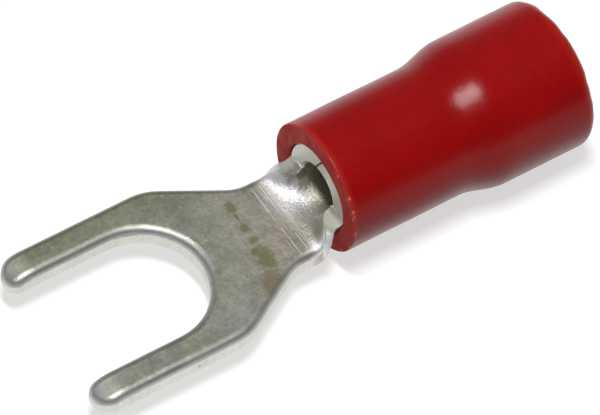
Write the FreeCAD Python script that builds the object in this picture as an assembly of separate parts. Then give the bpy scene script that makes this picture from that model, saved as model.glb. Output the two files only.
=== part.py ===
import FreeCAD, Part

import math
import os

from FreeCAD import Vector

# An insulated fork terminal: a tin-plated copper stamping, whose flat fork runs through a
# short curled neck into a rolled barrel, and a vinyl sleeve pressed over that barrel.
# All sizes are in millimetres and all angles in degrees.
# The origin is the stud's centre on the underside of the fork. +X runs from the fork's
# tips to the wire entry, +Y across the fork, and +Z out of the fork's upper face.

# Strip and fork
STOCK_THICKNESS = 0.70
STUD_SLOT_WIDTH = 4.26
TINE_WIDTH = 1.11
TINE_REACH = 3.61            # from the stud's centre to the tips of the tines
TIP_INNER_RADIUS = 0.42
TIP_OUTER_RADIUS = 0.62
NOSE_LENGTH = 0.95           # stretch of each tine that is coined down to its tip
NOSE_DROP = 0.36
DIE_ROLL_RADIUS = 0.28       # rounding that the punch leaves along the upper edges
STUD_TO_SLEEVE = 6.45        # from the stud's centre to the sleeve's front face

# Shoulders and neck
SHOULDER_ANGLE = 29.4
SHOULDER_RADIUS = 2.0
NECK_WIDTH = 3.50
THROAT_WIDTH = 3.38          # width of strip that is curled where the neck meets the barrel
NECK_CORNER_RADIUS = 1.4
NECK_PLAIN_LENGTH = 0.82     # straight-sided stretch of the neck that is still flat
CURL_LENGTH = 0.84           # from flat strip to the barrel's full curl
CURL_STEPS = 9               # stations of the loft
CURL_DELAY = 1.3             # above 1, the curl starts gently and closes near its end
WEB_RADIUS = 0.24            # inside corner between the neck's edge and the barrel's mouth

# Barrel
BARREL_BORE = 1.70
BARREL_LENGTH = 4.65
BARREL_INSET = 0.10          # the barrel's front face lies this far inside the sleeve
BARREL_DROP = 0.10           # the barrel's belly hangs this far below the fork
BARREL_EDGE_BREAK = 0.06     # chamfer around the barrel's four rims
SEAM_GAP = 0.06
SEAM_TURN = 20.0             # where the seam opens into the bore, from the top towards +Y
SEAM_LEAN = 46.0             # lean of the seam from the radius, towards -Y
THROAT_LAP = 0.35            # stretch of the throat that is one with the barrel's wall

# Sleeve
SLEEVE_LENGTH = 9.30
SLEEVE_FRONT_WALL = 0.72
SLEEVE_REAR_WALL = 0.685
SLEEVE_FIT = 0.0             # radial clearance between the sleeve and the barrel
INSULATION_BORE = 3.80
TAPER_BEFORE_BARREL_END = 0.10
TAPER_LENGTH = 1.10
TAPER_BLEND_RADIUS = 1.8
FUNNEL_BEHIND_BARREL = 0.10
FUNNEL_LENGTH = 0.95
FUNNEL_BLEND_RADIUS = 0.5
SLEEVE_FRONT_EDGE_RADIUS = 0.06
SLEEVE_MOUTH_RADIUS = 0.10
REAR_LIP_OUTER_RADIUS = 0.36
REAR_LIP_INNER_RADIUS = 0.24

# Sizes that follow from those above
BARREL_INNER_RADIUS = BARREL_BORE / 2
BARREL_OUTER_RADIUS = BARREL_INNER_RADIUS + STOCK_THICKNESS
BARREL_MID_RADIUS = BARREL_INNER_RADIUS + STOCK_THICKNESS / 2
TONGUE_HALF_WIDTH = STUD_SLOT_WIDTH / 2 + TINE_WIDTH
NECK_HALF_WIDTH = NECK_WIDTH / 2
BARREL_MOUTH = STUD_TO_SLEEVE + BARREL_INSET
BARREL_END = BARREL_MOUTH + BARREL_LENGTH
CURL_END = BARREL_MOUTH - WEB_RADIUS
CURL_START = CURL_END - CURL_LENGTH
NECK_CORNER = CURL_START - NECK_PLAIN_LENGTH
SLEEVE_END = STUD_TO_SLEEVE + SLEEVE_LENGTH

# The barrel and the sleeve share one axis, which is level with the fork.
AXIS = Vector(1, 0, 0)
AXIS_HEIGHT = BARREL_OUTER_RADIUS - BARREL_DROP
AXIS_START = Vector(0, 0, AXIS_HEIGHT)


def rounded_wire(corners, place):
    """A closed wire through corners (a, b, radius), each rounded; place maps (a, b) to 3-D."""
    flat = [Vector(a, b, 0) for a, b, radius in corners]
    count = len(corners)
    cuts = []
    for index, (a, b, radius) in enumerate(corners):
        here = flat[index]
        back = (flat[index - 1] - here).normalize()
        ahead = (flat[(index + 1) % count] - here).normalize()
        if radius == 0:
            cuts.append((here, None, here))
            continue
        half = back.getAngle(ahead) / 2
        reach = radius / math.tan(half)
        centre = here + (back + ahead).normalize() * (radius / math.sin(half))
        middle = centre + (here - centre).normalize() * radius
        cuts.append((here + back * reach, middle, here + ahead * reach))
    edges = []
    for index, (enter, middle, leave) in enumerate(cuts):
        if middle is not None:
            points = [place(p.x, p.y) for p in (enter, middle, leave)]
            edges.append(Part.Arc(*points).toShape())
        following = cuts[(index + 1) % count][0]
        if leave.distanceToPoint(following) > 1e-6:
            edges.append(Part.makeLine(place(leave.x, leave.y), place(following.x, following.y)))
    return Part.Wire(edges)


def tine_tip_radii():
    """The two corner radii of a tine's tip, limited by the tine's own width."""
    share = min(1.0, 0.96 * TINE_WIDTH / (TIP_INNER_RADIUS + TIP_OUTER_RADIUS))
    return TIP_INNER_RADIUS * share, TIP_OUTER_RADIUS * share


def tongue_outline():
    """Plan of the fork, from the tips of its tines to the flat start of the curl."""
    inner_radius, outer_radius = tine_tip_radii()
    half_slot = STUD_SLOT_WIDTH / 2
    shoulder_run = (TONGUE_HALF_WIDTH - NECK_HALF_WIDTH) / math.tan(math.radians(SHOULDER_ANGLE))
    shoulder = NECK_CORNER - shoulder_run
    right = [
        (0, half_slot, 0),
        (-TINE_REACH, half_slot, inner_radius),
        (-TINE_REACH, TONGUE_HALF_WIDTH, outer_radius),
        (shoulder, TONGUE_HALF_WIDTH, SHOULDER_RADIUS),
        (NECK_CORNER, NECK_HALF_WIDTH, NECK_CORNER_RADIUS),
        (CURL_START, NECK_HALF_WIDTH, 0),
    ]
    left = [(x, -y, radius) for x, y, radius in reversed(right)]
    return rounded_wire(right + left, lambda x, y: Vector(x, y, 0))


def coined_profile():
    """Side view of the fork: flat strip that is coined down towards the tips."""
    height = STOCK_THICKNESS
    start = Vector(-TINE_REACH + NOSE_LENGTH, 0, height)
    nose_radius = (NOSE_LENGTH ** 2 + NOSE_DROP ** 2) / (2 * NOSE_DROP)
    half_turn = math.asin(NOSE_LENGTH / nose_radius) / 2
    centre = start - Vector(0, 0, nose_radius)
    middle = centre + Vector(-math.sin(half_turn), 0, math.cos(half_turn)) * nose_radius
    tip = Vector(-TINE_REACH, 0, height - NOSE_DROP)
    foot = Vector(-TINE_REACH, 0, 0)
    root_foot = Vector(CURL_START, 0, 0)
    root = Vector(CURL_START, 0, height)
    nose = Part.Arc(start, middle, tip).toShape()
    lines = [Part.makeLine(a, b) for a, b in ((tip, foot), (foot, root_foot), (root_foot, root),
                                             (root, start))]
    return Part.Wire([nose] + lines)


def is_upper_edge(edge):
    """True for an edge that the die roll follows: around the top, but not across the neck."""
    box = edge.BoundBox
    across_neck = box.XMin > CURL_START - 1e-4
    across_nose = box.XLength < 1e-4 and box.YLength > 1e-3
    lowest_upper = STOCK_THICKNESS - NOSE_DROP - 1e-4
    return box.ZMin > lowest_upper and not across_neck and not across_nose


def tongue():
    """The flat fork, with coined tips and the die roll along its upper edges."""
    blank = Part.Face(tongue_outline()).extrude(Vector(0, 0, STOCK_THICKNESS))
    stud = Part.makeCylinder(STUD_SLOT_WIDTH / 2, STOCK_THICKNESS)
    side = Part.Face(coined_profile())
    side.translate(Vector(0, -TONGUE_HALF_WIDTH - 1, 0))
    coined = blank.cut(stud).common(side.extrude(Vector(0, 2 * TONGUE_HALF_WIDTH + 2, 0)))
    coined = coined.removeSplitter()
    rim = [edge for edge in coined.Edges if is_upper_edge(edge)]
    return coined.makeFillet(DIE_ROLL_RADIUS, rim)


def smooth(share):
    """Ease from 0 to 1 with level ends."""
    return share * share * (3 - 2 * share)


def strip_section(x, height, curvature, half_width, roll):
    """Wire of the strip's cross-section at x, curled upwards about a line above its middle."""
    half = STOCK_THICKNESS / 2
    slant = roll * (1 - math.sqrt(0.5))
    w = half_width

    def place(s, h):
        if curvature == 0:
            return Vector(x, s, height + h)
        radius = 1 / curvature
        turn = s * curvature
        reach = radius - h
        return Vector(x, math.sin(turn) * reach, height + radius - math.cos(turn) * reach)

    def across(s, h):
        ends = place(-s, h), place(s, h)
        if curvature == 0:
            return Part.makeLine(*ends)
        return Part.Arc(ends[0], place(0, h), ends[1]).toShape()

    def corner(side):
        points = [place(side * w, half - roll), place(side * (w - slant), half - slant),
                  place(side * (w - roll), half)]
        return Part.Arc(*points[::side]).toShape()

    return Part.Wire([
        across(w, -half),
        Part.makeLine(place(w, -half), place(w, half - roll)),
        corner(1),
        across(w - roll, half),
        corner(-1),
        Part.makeLine(place(-w, half - roll), place(-w, -half)),
    ])


def curled_section(share):
    """Cross-section of the neck at this share of the way from flat strip to full curl."""
    ease = smooth(share)
    width = NECK_WIDTH + (THROAT_WIDTH - NECK_WIDTH) * ease
    roll = DIE_ROLL_RADIUS + (BARREL_EDGE_BREAK - DIE_ROLL_RADIUS) * ease
    height = STOCK_THICKNESS / 2 - BARREL_DROP * ease
    curvature = ease ** CURL_DELAY / BARREL_MID_RADIUS
    return strip_section(CURL_START + CURL_LENGTH * share, height, curvature, width / 2, roll)


def neck():
    """The curl from flat strip to trough, and the throat that runs into the barrel's wall.

    The throat is as long in front of the barrel as the web beside it.
    """
    stations = [curled_section(step / CURL_STEPS) for step in range(CURL_STEPS + 1)]
    curl = Part.makeLoft(stations, True, False)
    throat = Part.Face(curled_section(1)).extrude(AXIS * (WEB_RADIUS + THROAT_LAP))
    return curl, throat


def around_axis(x, radius, degrees):
    """The point at this distance from the barrel's axis, turned from +Y towards +Z."""
    turn = math.radians(degrees)
    return Vector(x, math.cos(turn) * radius, AXIS_HEIGHT + math.sin(turn) * radius)


def web(side):
    """Rounded inside corner between the neck's edge and the barrel's mouth, on one side."""
    edge_turn = math.degrees(THROAT_WIDTH / 2 / BARREL_MID_RADIUS)
    web_turn = math.degrees(WEB_RADIUS / BARREL_MID_RADIUS)
    tip = BARREL_MOUTH - WEB_RADIUS
    root = BARREL_MOUTH + BARREL_EDGE_BREAK
    below = -90 + side * (edge_turn - web_turn / 2)
    corners = [(tip, BARREL_INNER_RADIUS), (tip, BARREL_OUTER_RADIUS),
               (root, BARREL_OUTER_RADIUS), (root, BARREL_INNER_RADIUS)]
    wall = Part.makePolygon([around_axis(x, radius, below) for x, radius in corners + corners[:1]])
    block = Part.Face(wall).revolve(AXIS_START, AXIS, side * 1.5 * web_turn)
    reach = 2 * BARREL_OUTER_RADIUS
    centre = Vector(tip, 0, AXIS_HEIGHT)
    outward = around_axis(tip, reach, -90 + side * (edge_turn + web_turn)) - centre
    spread = reach * math.tan(math.radians(web_turn))
    return block.cut(Part.makeCone(0, spread, reach, centre, outward))


def seam():
    """The slot that the seam leaves in the barrel's wall, from its bore outwards."""
    slot = Part.makeBox(BARREL_LENGTH + 2, SEAM_GAP, 2 * STOCK_THICKNESS)
    slot.translate(Vector(BARREL_MOUTH - 1, -SEAM_GAP / 2, 0))
    slot.rotate(Vector(0, 0, 0), AXIS, SEAM_LEAN)
    slot.translate(Vector(0, 0, AXIS_HEIGHT + BARREL_INNER_RADIUS - SEAM_GAP))
    slot.rotate(AXIS_START, AXIS, -SEAM_TURN)
    return slot


def barrel():
    """The rolled barrel: a chamfered wall, turned about the axis and slit at its seam."""
    inner, outer = BARREL_INNER_RADIUS, BARREL_OUTER_RADIUS
    chamfer = BARREL_EDGE_BREAK
    front = [(BARREL_MOUTH + chamfer, inner), (BARREL_MOUTH, inner + chamfer),
             (BARREL_MOUTH, outer - chamfer), (BARREL_MOUTH + chamfer, outer)]
    back = [(BARREL_END - chamfer, outer), (BARREL_END, outer - chamfer),
            (BARREL_END, inner + chamfer), (BARREL_END - chamfer, inner)]
    corners = front + back + front[:1]
    wall = Part.makePolygon([Vector(x, 0, AXIS_HEIGHT + radius) for x, radius in corners])
    return Part.Face(wall).revolve(AXIS_START, AXIS, 360).cut(seam())


def sleeve():
    """The vinyl sleeve, turned about the barrel's axis."""
    seat = BARREL_OUTER_RADIUS + SLEEVE_FIT
    front = BARREL_OUTER_RADIUS + SLEEVE_FRONT_WALL
    entry = INSULATION_BORE / 2
    rear = entry + SLEEVE_REAR_WALL
    taper = BARREL_END - TAPER_BEFORE_BARREL_END
    funnel = BARREL_END + FUNNEL_BEHIND_BARREL
    corners = [
        (STUD_TO_SLEEVE, seat, SLEEVE_MOUTH_RADIUS),
        (STUD_TO_SLEEVE, front, SLEEVE_FRONT_EDGE_RADIUS),
        (taper, front, TAPER_BLEND_RADIUS),
        (taper + TAPER_LENGTH, rear, TAPER_BLEND_RADIUS),
        (SLEEVE_END, rear, REAR_LIP_OUTER_RADIUS),
        (SLEEVE_END, entry, REAR_LIP_INNER_RADIUS),
        (funnel + FUNNEL_LENGTH, entry, FUNNEL_BLEND_RADIUS),
        (funnel, seat, FUNNEL_BLEND_RADIUS),
    ]
    wall = rounded_wire(corners, lambda x, radius: Vector(x, 0, AXIS_HEIGHT + radius))
    return Part.Face(wall).revolve(AXIS_START, AXIS, 360)


def terminal():
    """The whole stamping as one solid."""
    curl, throat = neck()
    whole = tongue().fuse([curl, throat, web(1), web(-1), barrel()]).removeSplitter()
    return whole.Solids[0]


os.makedirs("parts", exist_ok=True)
for name, make in (("fork_terminal", terminal), ("insulating_sleeve", sleeve)):
    piece = make()
    piece.exportStep("parts/" + name + ".step")
    print(name, piece.ShapeType, "valid", piece.isValid(), "volume %.3f mm3" % piece.Volume)
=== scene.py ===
"""Looks of an insulated fork terminal: a dull tin-plated fork and barrel in a red vinyl sleeve.

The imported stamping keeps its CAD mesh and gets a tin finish. The sleeve is modelled again,
finer than its CAD solid and with the slight unevenness of soft vinyl.
"""

import math

import bpy
from mathutils import Matrix, Quaternion, Vector, noise


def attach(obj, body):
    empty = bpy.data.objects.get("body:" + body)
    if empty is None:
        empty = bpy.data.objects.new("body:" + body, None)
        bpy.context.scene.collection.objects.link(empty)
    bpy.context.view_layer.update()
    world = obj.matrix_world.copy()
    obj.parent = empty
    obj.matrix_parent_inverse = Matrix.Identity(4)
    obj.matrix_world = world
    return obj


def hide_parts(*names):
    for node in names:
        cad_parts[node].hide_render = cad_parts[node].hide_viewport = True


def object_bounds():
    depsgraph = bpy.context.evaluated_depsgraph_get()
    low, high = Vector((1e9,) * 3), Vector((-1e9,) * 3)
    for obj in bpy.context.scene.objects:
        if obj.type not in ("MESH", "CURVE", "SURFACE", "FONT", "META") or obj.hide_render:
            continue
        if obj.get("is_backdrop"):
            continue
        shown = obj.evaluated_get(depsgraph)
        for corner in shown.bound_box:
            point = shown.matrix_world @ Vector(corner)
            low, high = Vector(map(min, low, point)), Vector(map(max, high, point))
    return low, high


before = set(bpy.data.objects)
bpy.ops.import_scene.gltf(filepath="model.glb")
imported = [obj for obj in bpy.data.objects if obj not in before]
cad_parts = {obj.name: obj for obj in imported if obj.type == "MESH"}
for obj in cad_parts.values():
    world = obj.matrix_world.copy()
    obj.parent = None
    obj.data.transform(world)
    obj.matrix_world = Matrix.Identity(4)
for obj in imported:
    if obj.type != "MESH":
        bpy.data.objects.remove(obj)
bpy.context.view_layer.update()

MM = 0.001

# Camera: the photograph's view, from the fork's open side and well above it.
AIM = Vector((5.355, -0.724, 2.055)) * MM
CAMERA_DISTANCE = 250 * MM
CAMERA_AZIMUTH = math.radians(-129.82)
CAMERA_ELEVATION = math.radians(54.43)
CAMERA_ROLL = math.radians(7.79)
SENSOR_WIDTH = 36.0
LENS = 470.65

# Light: one lamp almost overhead and long across the terminal, in a dim room.
KEY_DIRECTION = Vector((-0.154, -0.102, 0.983))
KEY_DISTANCE = 300 * MM
KEY_SIZE = (42 * MM, 104 * MM)
KEY_POWER = 0.76
ROOM_PALE_SIDE = Vector((0.35, 0.80, 0.45))
ROOM_DARKEST = 0.03
ROOM_PALEST = 0.22
ROOM_SKIRTING = 0.16
TABLE_HALF = 400 * MM
TABLE_GAP = 0.002 * MM
TABLE_WHITE = (0.47, 0.47, 0.47, 1)
TABLE_GLOW = 0.63

# Sleeve: the CAD solid's profile in millimetres, with a softer taper.
SLEEVE_START = 6.45
SLEEVE_END = 15.75
AXIS_HEIGHT = 1.45
SEAT_RADIUS = 1.55
FRONT_RADIUS = 2.27
ENTRY_RADIUS = 1.90
REAR_RADIUS = 2.585
TAPER_START = 11.10
TAPER_END = 12.20
TAPER_BLEND = 2.2
FUNNEL_START = 11.30
FUNNEL_END = 12.25
FUNNEL_BLEND = 0.5
FRONT_EDGE = 0.07
MOUTH_EDGE = 0.10
REAR_EDGE_OUTER = 0.36
REAR_EDGE_INNER = 0.24
AROUND = 256
ARC_STEPS = 10
STRAIGHT_STEP = 0.16
WAVINESS = 0.012
REAR_WAVE_REACH = 0.9
REAR_WAVE_DEPTH = 0.06
FRONT_WAVE_REACH = 0.5
FRONT_WAVE_DEPTH = 0.03

# Tin plate: colours, from the plain plate to what working and handling did to it, with painted
# highlights, painted light and painted shade.
TIN_GREY = (0.395, 0.405, 0.33, 1)
TIN_BLUE = (0.415, 0.43, 0.375, 1)
TIN_OLIVE = (0.32, 0.335, 0.205, 1)
TIN_PINK = (0.52, 0.485, 0.42, 1)
TIN_PALE = (0.80, 0.82, 0.78, 1)
TIN_CUT = (0.78, 0.78, 0.73, 1)
# Painted highlight in the trough: the first colour is near-white where the trough catches the lamp, the
# second is its plainer tin elsewhere.
TIN_TROUGH_HIGHLIGHT = (0.92, 0.92, 0.94, 1)
TIN_TROUGH = (0.50, 0.50, 0.42, 1)
TIN_NECK_SIDE = (0.38, 0.35, 0.31, 1)
# Painted highlight: paler, more neutral tin on the rounded edges and the coined tips.
TIN_ROUNDING_HIGHLIGHT = (0.56, 0.57, 0.575, 1)
TIN_EDGE = (0.40, 0.41, 0.345, 1)
# Painted light: paler, warmer tin that lifts the shade inside the barrel's bore.
TIN_BORE_PAINTED_LIGHT = (0.60, 0.555, 0.46, 1)
STAIN_OLIVE = (0.155, 0.15, 0.062, 1)
STAIN_BROWN = (0.27, 0.225, 0.14, 1)
# Painted shade: dark tin inside the barrel's mouth, beside the ring.
MOUTH_SHADE_DARK = (0.17, 0.15, 0.12, 1)
TIN_ROUGHNESS = 0.50

# Places on the stamping, in millimetres. A zone gives where a mask starts and where it is full.
RING_FACE = 6.55
BORE_RADIUS = 0.85
BLUISH_ZONE = (0.5, -2.0)
WARM_ZONE = (2.4, 4.4)
OLIVE_RIM_ZONE = (2.1, 3.9)
# Where the painted highlight on the rounded edges gives way, before the neck.
ROUNDING_HIGHLIGHT_ZONE = (5.2, 4.7)
FINE_MARKS_ZONE = (4.2, 4.9)
# Where the strip is drawn out into the trough: coarser grain, and a painted highlight.
STRETCHED_HIGHLIT_ZONE = (5.0, 5.7)
NECK_SIDE_ZONE = (5.2, 5.7)
CURLED_EDGE_ZONE = (5.75, 6.05)
BORE_LIGHT_ZONE = (6.2, 6.6)
# Where the trough's painted highlight lies: its far side and its near corner.
TROUGH_HIGHLIGHT_FAR_SIDE = (-0.7, 0.3)
TROUGH_HIGHLIGHT_NEAR_CORNER = (-1.15, -1.5)
DIE_LINES = (5.03, 5.32)
DIE_LINE_WIDTH = 0.034
DIE_LINE_ENDS = (1.60, 1.30)

# Stains on the stamping, and a spot of painted shade inside the barrel's mouth, each with its centre and
# radii in millimetres.
STAINS = (
    ((4.02, 1.12, 0.7), (0.17, 0.25, 9.0)),
    ((4.00, 0.74, 0.7), (0.05, 0.20, 9.0)),
    ((4.00, 0.22, 0.7), (0.15, 0.18, 9.0)),
    ((4.00, -0.28, 0.7), (0.15, 0.17, 9.0)),
    ((3.80, -0.70, 0.7), (0.15, 0.16, 9.0)),
    ((3.97, -1.10, 0.7), (0.28, 0.54, 9.0)),
)
BROWN_TINT = ((3.66, -2.14, 0.7), (0.42, 0.70, 9.0))
# Painted shade inside the barrel's mouth, beside the ring.
MOUTH_SHADE_SPOT = ((6.38, 0.95, 1.18), (0.34, 0.26, 0.22))

# Vinyl. A gloss is the shader's Specular IOR Level.
VINYL_RED = (0.335, 0.0035, 0.004, 1)
VINYL_DEEP = (0.285, 0.003, 0.0035, 1)
VINYL_FRONT_RIM = (0.45, 0.030, 0.022, 1)
# Painted light: the thin rear rim, lit through.
VINYL_REAR_GLOW = (0.48, 0.035, 0.020, 1)
VINYL_CUT = (0.56, 0.062, 0.050, 1)
VINYL_CUT_DEEP = (0.44, 0.036, 0.030, 1)
VINYL_NICK = (0.75, 0.25, 0.22, 1)
VINYL_ROUGHNESS = 0.235
VINYL_GLOSS = 0.18
CUT_GLOSS = 0.12


def plug(tree, socket, value):
    """Join a socket to another one, or set its own value."""
    if isinstance(value, bpy.types.NodeSocket):
        tree.links.new(value, socket)
    else:
        socket.default_value = value


def node(tree, kind, inputs=None, **settings):
    """A new shader node with its settings and inputs filled in."""
    made = tree.nodes.new("ShaderNode" + kind)
    for name, value in settings.items():
        setattr(made, name, value)
    for name, value in (inputs or {}).items():
        plug(tree, made.inputs[name], value)
    return made


def calc(tree, operation, a, b=0.0):
    return node(tree, "Math", {0: a, 1: b}, operation=operation).outputs[0]


def times(tree, a, b):
    return calc(tree, "MULTIPLY", a, b)


def span(tree, value, low, high, start=0.0, end=1.0):
    """Ease from start to end as the value goes from low to high."""
    inputs = {"Value": value, "From Min": low, "From Max": high, "To Min": start, "To Max": end}
    return node(tree, "MapRange", inputs, interpolation_type="SMOOTHSTEP").outputs["Result"]


def blend(tree, share, a, b):
    """Mix of two colours."""
    return node(tree, "Mix", {0: share, 6: a, 7: b}, data_type="RGBA").outputs[2]


def cloud(tree, place, scale, detail=3.0, rough=0.5, warp=0.0):
    """Soft noise around 0.5, with its scale in cells per millimetre."""
    inputs = {"Vector": place, "Scale": scale, "Detail": detail, "Roughness": rough, "Distortion": warp}
    return node(tree, "TexNoise", inputs).outputs["Fac"]


def vector_step(tree, operation, a, b):
    return node(tree, "VectorMath", {0: a, 1: b}, operation=operation).outputs[0]


def scaled(tree, vector, factor):
    return node(tree, "VectorMath", {0: vector, "Scale": factor}, operation="SCALE").outputs[0]


def millimetres(tree):
    """Place on the part, in millimetres from the frame's origin."""
    return scaled(tree, node(tree, "TexCoord").outputs["Object"], 1 / MM)


def parts_of(tree, vector):
    """The x, y and z of a vector."""
    return node(tree, "SeparateXYZ", {0: vector}).outputs


def facing(tree):
    """The x, y and z of the surface's normal."""
    return parts_of(tree, node(tree, "NewGeometry").outputs["Normal"])


def from_axis(tree, where):
    """Distance from the axis of the barrel and the sleeve."""
    height = calc(tree, "SUBTRACT", where["Z"], AXIS_HEIGHT)
    squares = calc(tree, "ADD", times(tree, where["Y"], where["Y"]), times(tree, height, height))
    return calc(tree, "SQRT", squares)


def new_group(name, inputs, output):
    """An empty node group with one varying output."""
    tree = bpy.data.node_groups.new(name, "ShaderNodeTree")
    for label, kind in inputs:
        tree.interface.new_socket(name=label, in_out="INPUT", socket_type="NodeSocket" + kind)
    tree.interface.new_socket(name=output, in_out="OUTPUT", socket_type="NodeSocketFloat")
    return tree, tree.nodes.new("NodeGroupInput").outputs, tree.nodes.new("NodeGroupOutput").inputs[0]


def use_group(tree, group, **values):
    """Place a node group, fill in its inputs and give its output."""
    made = tree.nodes.new("ShaderNodeGroup")
    made.node_tree = group
    for name, value in values.items():
        plug(tree, made.inputs[name], value)
    return made.outputs[0]


def patches_group():
    """Broad soft patches of the given size in millimetres."""
    tree, given, result = new_group("patches", [("Place", "Vector"), ("Size", "Float")], "Patches")
    per_millimetre = calc(tree, "DIVIDE", 1.0, given["Size"])
    plug(tree, result, cloud(tree, given["Place"], per_millimetre, detail=5.0, rough=0.6, warp=0.4))
    return tree


def specks_group():
    """Small round specks; only a share of the cells holds one."""
    inputs = [("Place", "Vector"), ("Density", "Float"), ("Size", "Float"), ("Share", "Float")]
    tree, given, result = new_group("specks", inputs, "Mask")
    cells = node(tree, "TexVoronoi", {"Vector": given["Place"], "Scale": given["Density"]})
    inside = span(tree, cells.outputs["Distance"], given["Size"], times(tree, given["Size"], 0.4))
    chance = parts_of(tree, cells.outputs["Color"])["X"]
    plug(tree, result, times(tree, inside, calc(tree, "LESS_THAN", chance, given["Share"])))
    return tree


def stain_and_shade_group():
    """A ragged, soft-edged spot, for stains and for painted shade, with this centre and these radii."""
    inputs = [("Place", "Vector"), ("Centre", "Vector"), ("Radii", "Vector"), ("Ragged", "Float")]
    tree, given, result = new_group("stain_and_shade", inputs, "Mask")
    offset = vector_step(tree, "SUBTRACT", given["Place"], given["Centre"])
    shaped = vector_step(tree, "DIVIDE", offset, given["Radii"])
    away = node(tree, "VectorMath", {0: shaped}, operation="LENGTH").outputs["Value"]
    rag = calc(tree, "SUBTRACT", cloud(tree, given["Place"], 5.0, detail=6.0, rough=0.75), 0.5)
    edge = calc(tree, "ADD", away, times(tree, rag, given["Ragged"]))
    plug(tree, result, span(tree, edge, 1.50, 0.55))
    return tree


PATCHES = patches_group()
SPECKS = specks_group()
STAIN_AND_SHADE = stain_and_shade_group()


def material(name):
    """An empty node material with its Principled BSDF and output joined."""
    made = bpy.data.materials.new(name)
    made.use_nodes = True
    return made, made.node_tree, made.node_tree.nodes["Principled BSDF"]


def bump(tree, shader, height):
    """Relief on the surface; the height is in metres."""
    made = node(tree, "Bump", {"Height": height, "Distance": 1.0, "Strength": 1.0})
    plug(tree, shader.inputs["Normal"], made.outputs["Normal"])


def placed_stain_and_shade(tree, place, spot, ragged):
    """One ragged spot at a (centre, radii) pair: the stains, and the painted shade inside the mouth."""
    centre, radii = spot
    return use_group(tree, STAIN_AND_SHADE, Place=place, Centre=centre, Radii=radii, Ragged=ragged)


def die_lines(tree, place, x, y):
    """Pale lines that the forming die scores across the neck, broken here and there."""
    wander = times(tree, calc(tree, "SUBTRACT", cloud(tree, place, 0.9), 0.5), 0.05)
    moved = calc(tree, "ADD", x, wander)
    lines = 0.0
    for position in DIE_LINES:
        away = calc(tree, "ABSOLUTE", calc(tree, "SUBTRACT", moved, position))
        lines = calc(tree, "MAXIMUM", lines, span(tree, away, DIE_LINE_WIDTH, 0.3 * DIE_LINE_WIDTH))
    drawn = vector_step(tree, "MULTIPLY", place, (0.3, 1.0, 1.0))
    broken = span(tree, cloud(tree, drawn, 1.7, detail=2.0), 0.32, 0.52)
    fine = cloud(tree, vector_step(tree, "MULTIPLY", place, (13.0, 0.9, 1.0)), 1.0, detail=3.0, rough=0.6)
    fine = times(tree, span(tree, fine, 0.56, 0.72, 0.0, 0.55), span(tree, x, *FINE_MARKS_ZONE))
    inside = span(tree, calc(tree, "ABSOLUTE", y), *DIE_LINE_ENDS)
    marks = calc(tree, "MAXIMUM", times(tree, lines, broken), fine)
    return times(tree, marks, inside)


def tin_mottle(tree, place, x, y, patches):
    """Mottled grey: bluish on the tines, warmer near the neck and olive towards the edges."""
    on_tines = span(tree, x, *BLUISH_ZONE, 0.0, 0.8)
    bluish = calc(tree, "MAXIMUM", span(tree, patches, 0.35, 0.66), on_tines)
    tone = blend(tree, bluish, TIN_GREY, TIN_BLUE)
    warmth = times(tree, span(tree, x, *WARM_ZONE), span(tree, patches, 0.34, 0.62))
    tone = blend(tree, times(tree, warmth, 0.85), tone, TIN_PINK)
    rim = span(tree, calc(tree, "ADD", y, times(tree, patches, 0.9)), *OLIVE_RIM_ZONE)
    mottle = span(tree, cloud(tree, place, 1.2, detail=6.0, rough=0.7, warp=0.6), 0.46, 0.66)
    olive = calc(tree, "MAXIMUM", times(tree, rim, 0.9), times(tree, mottle, 0.6))
    tone = blend(tree, olive, tone, TIN_OLIVE)
    dull = span(tree, cloud(tree, place, 2.4, detail=5.0, rough=0.65, warp=0.3), 0.38, 0.62, 0.84, 1.00)
    fine = span(tree, cloud(tree, place, 8.0, detail=5.0, rough=0.75), 0.3, 0.7, 0.86, 1.14)
    return scaled(tree, tone, times(tree, dull, fine))


def tin_stains(tree, place):
    """The olive stains in front of the neck."""
    marks = 0.0
    for spot in STAINS:
        marks = calc(tree, "MAXIMUM", marks, placed_stain_and_shade(tree, place, spot, 2.6))
    return marks


def curled_edges(tree, where, normal):
    """The strip's own edges, where they stand up beside the barrel's mouth."""
    before_ring = span(tree, where["X"], RING_FACE - 0.01, RING_FACE - 0.03)
    along = times(tree, span(tree, where["X"], *CURLED_EDGE_ZONE), before_ring)
    raised = times(tree, span(tree, where["Z"], 1.0, 1.15), span(tree, normal["Z"], 0.2, 0.5))
    return times(tree, along, raised)


def bore_light_mask(tree, where):
    """The barrel's bore, with the end of the trough, where paler tin is painted as light."""
    inside = span(tree, from_axis(tree, where), BORE_RADIUS + 0.10, BORE_RADIUS + 0.04)
    return times(tree, inside, span(tree, where["X"], *BORE_LIGHT_ZONE))


def rounding_highlight_mask(tree, x, normal):
    """The rounded edges and the coined tips, painted paler as a highlight."""
    tilted = times(tree, span(tree, normal["Z"], 0.985, 0.86), span(tree, normal["Z"], 0.15, 0.40))
    return times(tree, tilted, span(tree, x, *ROUNDING_HIGHLIGHT_ZONE))


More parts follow.
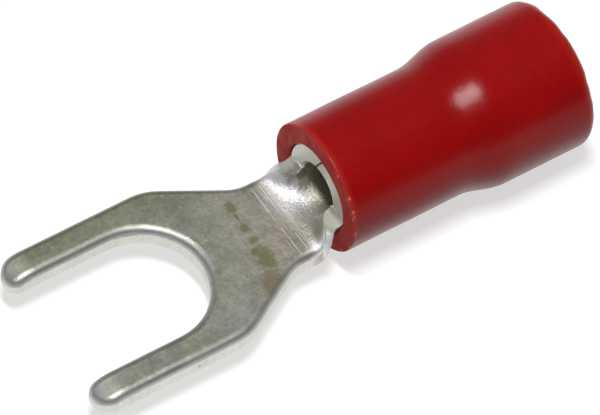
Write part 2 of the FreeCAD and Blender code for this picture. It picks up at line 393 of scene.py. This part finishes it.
def tin_zones(tree, where, normal):
    """Masks of the surfaces that were cut, rolled or drawn out, and of the places with painted highlights
    and painted light: the drawn-out trough, the rounded edges and the bore.
    """
    x = where["X"]
    at_ring = span(tree, x, RING_FACE - 0.1, RING_FACE - 0.05)
    ring = times(tree, span(tree, normal["X"], -0.8, -0.95), at_ring)
    sheared = span(tree, calc(tree, "ABSOLUTE", normal["Z"]), 0.30, 0.10)
    neck_side = times(tree, span(tree, x, *NECK_SIDE_ZONE), sheared)
    return {
        "level": span(tree, normal["Z"], 0.80, 0.95),
        "ring": ring,
        "sheared": sheared,
        "neck_side": calc(tree, "SUBTRACT", neck_side, ring),
        # The drawn-out trough: coarser grain, and a painted highlight on it.
        "stretched_highlit": times(tree, span(tree, x, *STRETCHED_HIGHLIT_ZONE), span(tree, normal["Z"], -0.1, 0.2)),
        "rounding_highlight": rounding_highlight_mask(tree, x, normal),
        "edges": curled_edges(tree, where, normal),
        "bore": bore_light_mask(tree, where),
    }


def tin_marks(tree, place, where, zones):
    """Masks of the stains, lines and specks, and of the painted shade inside the barrel's mouth."""
    level = zones["level"]
    drawn = vector_step(tree, "MULTIPLY", place, (1.0, 1.0, 0.06))
    shear = times(tree, cloud(tree, drawn, 7.0, detail=3.0, rough=0.6), zones["sheared"])
    return {
        "patches": use_group(tree, PATCHES, Place=place, Size=1.7),
        "shear": shear,
        "stains": times(tree, tin_stains(tree, place), level),
        "brown": times(tree, placed_stain_and_shade(tree, place, BROWN_TINT, 1.6), level),
        "mouth_shade": placed_stain_and_shade(tree, place, MOUTH_SHADE_SPOT, 3.0),
        "lines": times(tree, die_lines(tree, place, where["X"], where["Y"]), level),
        "specks": use_group(tree, SPECKS, Place=place, Density=3.4, Size=0.24, Share=0.10),
        "pits": use_group(tree, SPECKS, Place=place, Density=2.1, Size=0.16, Share=0.10),
    }


def layered(tree, colour, layers):
    """Lay (mask, strength, tint) layers over a colour, one after the other."""
    for mask, strength, tint in layers:
        colour = blend(tree, times(tree, mask, strength), colour, tint)
    return colour


def tin_colour(tree, place, where, zones, marks):
    """Colour of the stamping: the mottled plate, its worked surfaces, painted highlights in the trough
    and on the rounded edges, painted light in the bore, and then its marks, with painted shade inside the
    barrel's mouth.
    """
    y = where["Y"]
    # Painted highlight in the trough: near-white on the far side and in the near corner.
    bright = calc(tree, "MAXIMUM", span(tree, y, *TROUGH_HIGHLIGHT_FAR_SIDE), span(tree, y, *TROUGH_HIGHLIGHT_NEAR_CORNER))
    trough = blend(tree, bright, TIN_TROUGH, TIN_TROUGH_HIGHLIGHT)
    cut = calc(tree, "MAXIMUM", zones["ring"], zones["sheared"])
    colour = tin_mottle(tree, place, where["X"], y, marks["patches"])
    colour = layered(tree, colour, ((zones["stretched_highlit"], 0.85, trough), (cut, 0.8, TIN_CUT)))
    streaks = times(tree, marks["shear"], calc(tree, "SUBTRACT", 1.0, zones["ring"]))
    colour = scaled(tree, colour, span(tree, streaks, 0.42, 0.62, 1.0, 0.95))
    return layered(tree, colour, (
        (zones["neck_side"], 0.8, TIN_NECK_SIDE),
        # Painted highlight on the rounded edges and the coined tips.
        (zones["rounding_highlight"], 0.7, TIN_ROUNDING_HIGHLIGHT),
        (zones["edges"], 0.9, TIN_EDGE),
        # Painted light inside the bore.
        (zones["bore"], 0.8, TIN_BORE_PAINTED_LIGHT),
        # Painted shade inside the barrel's mouth.
        (marks["mouth_shade"], 0.7, MOUTH_SHADE_DARK),
        (marks["brown"], 0.75, STAIN_BROWN),
        (marks["stains"], 0.85, STAIN_OLIVE),
        (marks["lines"], 0.65, TIN_PALE),
        (marks["specks"], 0.30, TIN_PALE),
        (marks["pits"], 0.45, STAIN_OLIVE),
    ))


def tin_relief(tree, place, zones, marks):
    """Height of the grain, which is coarser where the tin was drawn out, and of the marks."""
    grain = cloud(tree, place, 11.0, detail=4.0, rough=0.7)
    height = times(tree, grain, span(tree, zones["stretched_highlit"], 0.5, 1.0, 0.007 * MM, 0.026 * MM))
    for name, depth in (("shear", 0.012), ("patches", 0.010), ("lines", 0.006)):
        height = calc(tree, "ADD", height, times(tree, marks[name], depth * MM))
    return height


def tin_plate():
    """Dull tin plate on the stamping."""
    made, tree, shader = material("dull_tin_plate")
    place = millimetres(tree)
    where = parts_of(tree, place)
    zones = tin_zones(tree, where, facing(tree))
    marks = tin_marks(tree, place, where, zones)
    plug(tree, shader.inputs["Base Color"], tin_colour(tree, place, where, zones, marks))
    rough = span(tree, marks["patches"], 0.3, 0.7, TIN_ROUGHNESS - 0.05, TIN_ROUGHNESS + 0.06)
    dulled = calc(tree, "MAXIMUM", marks["stains"], zones["edges"])
    plug(tree, shader.inputs["Roughness"], calc(tree, "ADD", rough, times(tree, dulled, 0.12)))
    plug(tree, shader.inputs["Metallic"], calc(tree, "SUBTRACT", 1.0, times(tree, dulled, 0.55)))
    bump(tree, shader, tin_relief(tree, place, zones, marks))
    return made


def vinyl_skin(tree, place, x):
    """Colour of the moulded skin: paler at both rims, the rear one with painted light shining through its
    thin edge, and nicked along the front one.
    """
    patches = use_group(tree, PATCHES, Place=place, Size=2.4)
    colour = blend(tree, span(tree, patches, 0.3, 0.7), VINYL_RED, VINYL_DEEP)
    colour = scaled(tree, colour, span(tree, cloud(tree, place, 7.0, detail=4.0), 0.3, 0.7, 0.94, 1.06))
    front = span(tree, x, SLEEVE_START + 0.28, SLEEVE_START + 0.02)
    lip = span(tree, x, SLEEVE_START + 0.12, SLEEVE_START + 0.06)
    nicks = times(tree, use_group(tree, SPECKS, Place=place, Density=4.0, Size=0.36, Share=0.28), lip)
    # Painted light shining through the thin rear rim.
    rear = span(tree, x, SLEEVE_END - 0.55, SLEEVE_END - 0.05)
    return layered(tree, colour, (
        (front, 0.7, VINYL_FRONT_RIM),
        (nicks, 0.8, VINYL_NICK),
        (rear, 0.55, VINYL_REAR_GLOW),
    ))


def red_vinyl():
    """Semi-gloss red vinyl."""
    made, tree, shader = material("red_vinyl")
    shader.inputs["Specular IOR Level"].default_value = VINYL_GLOSS
    place = millimetres(tree)
    x = parts_of(tree, place)["X"]
    drawn = vector_step(tree, "MULTIPLY", place, (0.35, 2.2, 2.2))
    streaks = cloud(tree, drawn, 1.2, detail=1.0, rough=0.4)
    plug(tree, shader.inputs["Base Color"], vinyl_skin(tree, place, x))
    rough = span(tree, streaks, 0.3, 0.7, VINYL_ROUGHNESS - 0.02, VINYL_ROUGHNESS + 0.03)
    plug(tree, shader.inputs["Roughness"], rough)
    bump(tree, shader, times(tree, cloud(tree, place, 9.0, detail=5.0, rough=0.7), 0.007 * MM))
    return made


def cut_vinyl():
    """The sleeve's front face, cut off dull, with pale nicks along its rim."""
    made, tree, shader = material("cut_vinyl")
    shader.inputs["Specular IOR Level"].default_value = CUT_GLOSS
    place = millimetres(tree)
    reach = from_axis(tree, parts_of(tree, place))
    rim = span(tree, reach, FRONT_RADIUS - 0.22, FRONT_RADIUS - 0.06)
    nicks = times(tree, use_group(tree, SPECKS, Place=place, Density=4.5, Size=0.34, Share=0.20), rim)
    patches = use_group(tree, PATCHES, Place=place, Size=0.8)
    colour = blend(tree, span(tree, patches, 0.3, 0.7), VINYL_CUT, VINYL_CUT_DEEP)
    colour = blend(tree, times(tree, nicks, 0.8), colour, VINYL_NICK)
    plug(tree, shader.inputs["Base Color"], colour)
    plug(tree, shader.inputs["Roughness"], span(tree, patches, 0.3, 0.7, 0.55, 0.7))
    relief = times(tree, cloud(tree, place, 12.0, detail=4.0), 0.008 * MM)
    bump(tree, shader, calc(tree, "ADD", relief, times(tree, nicks, 0.02 * MM)))
    return made


def rounded_profile(corners):
    """Points along a closed outline of (x, radius, rounding) corners."""
    flat = [Vector((x, radius)) for x, radius, rounding in corners]
    arcs = []
    for index, (x, radius, rounding) in enumerate(corners):
        here = flat[index]
        back = (flat[index - 1] - here).normalized()
        ahead = (flat[(index + 1) % len(flat)] - here).normalized()
        half = back.angle(ahead) / 2
        centre = here + (back + ahead).normalized() * (rounding / math.sin(half))
        start = here + back * (rounding / math.tan(half)) - centre
        end = here + ahead * (rounding / math.tan(half)) - centre
        turn = start.angle_signed(end)
        steps = max(3, round(ARC_STEPS * abs(turn) / (math.pi / 2) + 2 * rounding))
        angles = [-turn * step / steps for step in range(steps + 1)]
        arcs.append([centre + Matrix.Rotation(angle, 2) @ start for angle in angles])
    points = []
    for index, arc in enumerate(arcs):
        points += arc
        gap = arcs[(index + 1) % len(arcs)][0] - arc[-1]
        pieces = max(1, round(gap.length / STRAIGHT_STEP))
        points += [arc[-1] + gap * (step / pieces) for step in range(1, pieces)]
    return points


def sleeve_profile():
    """The sleeve's section, from the front bore over the outside to the funnel."""
    return rounded_profile([
        (SLEEVE_START, SEAT_RADIUS, MOUTH_EDGE),
        (SLEEVE_START, FRONT_RADIUS, FRONT_EDGE),
        (TAPER_START, FRONT_RADIUS, TAPER_BLEND),
        (TAPER_END, REAR_RADIUS, TAPER_BLEND),
        (SLEEVE_END, REAR_RADIUS, REAR_EDGE_OUTER),
        (SLEEVE_END, ENTRY_RADIUS, REAR_EDGE_INNER),
        (FUNNEL_END, ENTRY_RADIUS, FUNNEL_BLEND),
        (FUNNEL_START, SEAT_RADIUS, FUNNEL_BLEND),
    ])


def sleeve_point(x, radius, turn):
    """A point of the sleeve: its lips are not quite flat and its skin not quite round."""
    across = Vector((math.cos(turn), math.sin(turn)))
    near_rear = max(0.0, 1 - (SLEEVE_END - x) / REAR_WAVE_REACH) ** 2
    near_front = max(0.0, 1 - (x - SLEEVE_START) / FRONT_WAVE_REACH) ** 2
    wave = noise.noise(Vector((across.x * 1.6, across.y * 1.6, 3.0)))
    ripple = noise.noise(Vector((across.x * 5.0, across.y * 5.0, 9.0)))
    dent = noise.noise(Vector((x * 0.5, across.x * 1.2, across.y * 1.2)))
    back = near_rear * max(0.0, 0.15 + 0.9 * wave + 0.8 * ripple) * REAR_WAVE_DEPTH
    forward = near_front * max(0.0, 0.3 + 0.4 * wave) * FRONT_WAVE_DEPTH
    outer = max(0.0, min(1.0, (radius - SEAT_RADIUS) / 0.4))
    radius -= WAVINESS * max(0.0, 0.6 + dent) * outer
    return Vector((x - back + forward, across.x * radius, AXIS_HEIGHT + across.y * radius)) * MM


def sleeve():
    """The sleeve, turned about the barrel's axis."""
    profile = sleeve_profile()
    count = len(profile)
    turns = [2 * math.pi * step / AROUND for step in range(AROUND)]
    points = [sleeve_point(p.x, p.y, turn) for turn in turns for p in profile]
    faces = []
    for ring in range(AROUND):
        here, there = ring * count, (ring + 1) % AROUND * count
        for index in range(count):
            after = (index + 1) % count
            faces.append((here + index, there + index, there + after, here + after))
    mesh = bpy.data.meshes.new("vinyl_sleeve")
    mesh.from_pydata(points, [], faces)
    mesh.shade_smooth()
    mesh.materials.append(red_vinyl())
    mesh.materials.append(cut_vinyl())
    for face in mesh.polygons:
        flat_front = face.center.x < (SLEEVE_START + 0.06) * MM and face.normal.x < -0.8
        face.material_index = int(flat_front)
    piece = bpy.data.objects.new("vinyl_sleeve", mesh)
    bpy.context.scene.collection.objects.link(piece)
    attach(piece, "root")
    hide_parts("insulating_sleeve")


def dress(name, finish):
    """Give a CAD node one finish."""
    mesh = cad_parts[name].data
    mesh.materials.clear()
    mesh.materials.append(finish)


def camera():
    """The photograph's camera."""
    view = Vector((math.cos(CAMERA_ELEVATION) * math.cos(CAMERA_AZIMUTH),
                   math.cos(CAMERA_ELEVATION) * math.sin(CAMERA_AZIMUTH),
                   math.sin(CAMERA_ELEVATION)))
    data = bpy.data.cameras.new("camera")
    data.sensor_width = SENSOR_WIDTH
    data.lens = LENS
    data.clip_start = 10 * MM
    data.clip_end = 5.0
    holder = bpy.data.objects.new("camera", data)
    bpy.context.scene.collection.objects.link(holder)
    turn = (-view).to_track_quat("-Z", "Y") @ Quaternion((0, 0, 1), CAMERA_ROLL)
    holder.matrix_world = Matrix.Translation(AIM + view * CAMERA_DISTANCE) @ turn.to_matrix().to_4x4()
    bpy.context.scene.camera = holder


def key_lamp():
    """One soft lamp, facing the part."""
    data = bpy.data.lights.new("key", "AREA")
    data.shape = "ELLIPSE"
    data.size, data.size_y = KEY_SIZE
    data.energy = KEY_POWER
    holder = bpy.data.objects.new("key", data)
    bpy.context.scene.collection.objects.link(holder)
    back = KEY_DIRECTION.normalized()
    side = Vector((0, 1, 0)).cross(back).normalized()
    axes = Matrix((side, back.cross(side), back)).transposed()
    holder.matrix_world = Matrix.Translation(AIM + back * KEY_DISTANCE) @ axes.to_4x4()


def room():
    """A dim room, paler on the far side and near the table; the camera itself sees it white."""
    world = bpy.data.worlds.new("room")
    bpy.context.scene.world = world
    world.use_nodes = True
    tree = world.node_tree
    direction = node(tree, "TexCoord").outputs["Generated"]
    sides = {0: direction, 1: tuple(ROOM_PALE_SIDE.normalized())}
    toward = node(tree, "VectorMath", sides, operation="DOT_PRODUCT").outputs["Value"]
    wall = span(tree, toward, -0.6, 1.0, ROOM_DARKEST, ROOM_PALEST)
    skirting = span(tree, parts_of(tree, direction)["Z"], 0.45, 0.0, 0.0, ROOM_SKIRTING)
    seen = node(tree, "LightPath").outputs["Is Camera Ray"]
    strength = calc(tree, "MAXIMUM", seen, calc(tree, "ADD", wall, skirting))
    plug(tree, tree.nodes["Background"].inputs["Strength"], strength)
    tree.nodes["Background"].inputs["Color"].default_value = (1, 1, 1, 1)


def white_table():
    """White for the table, which glows for the camera and in mirrors."""
    made, tree, shader = material("white_table")
    shader.inputs["Base Color"].default_value = TABLE_WHITE
    shader.inputs["Roughness"].default_value = 0.8
    shader.inputs["Emission Color"].default_value = (1, 1, 1, 1)
    rays = node(tree, "LightPath").outputs
    mirrored = calc(tree, "MAXIMUM", rays["Is Glossy Ray"], rays["Is Transmission Ray"])
    seen = calc(tree, "MAXIMUM", rays["Is Camera Ray"], mirrored)
    plug(tree, shader.inputs["Emission Strength"], times(tree, seen, TABLE_GLOW))
    return made


def table():
    """A square table just under the part."""
    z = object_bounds()[0].z - TABLE_GAP
    mesh = bpy.data.meshes.new("table")
    corners = [(-1, -1), (1, -1), (1, 1), (-1, 1)]
    mesh.from_pydata([(TABLE_HALF * x, TABLE_HALF * y, z) for x, y in corners], [], [(0, 1, 2, 3)])
    floor = bpy.data.objects.new("table", mesh)
    bpy.context.scene.collection.objects.link(floor)
    mesh.materials.append(white_table())
    floor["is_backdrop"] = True


bpy.context.scene.view_settings.view_transform = "Standard"
dress("fork_terminal", tin_plate())
sleeve()
camera()
key_lamp()
room()
table()
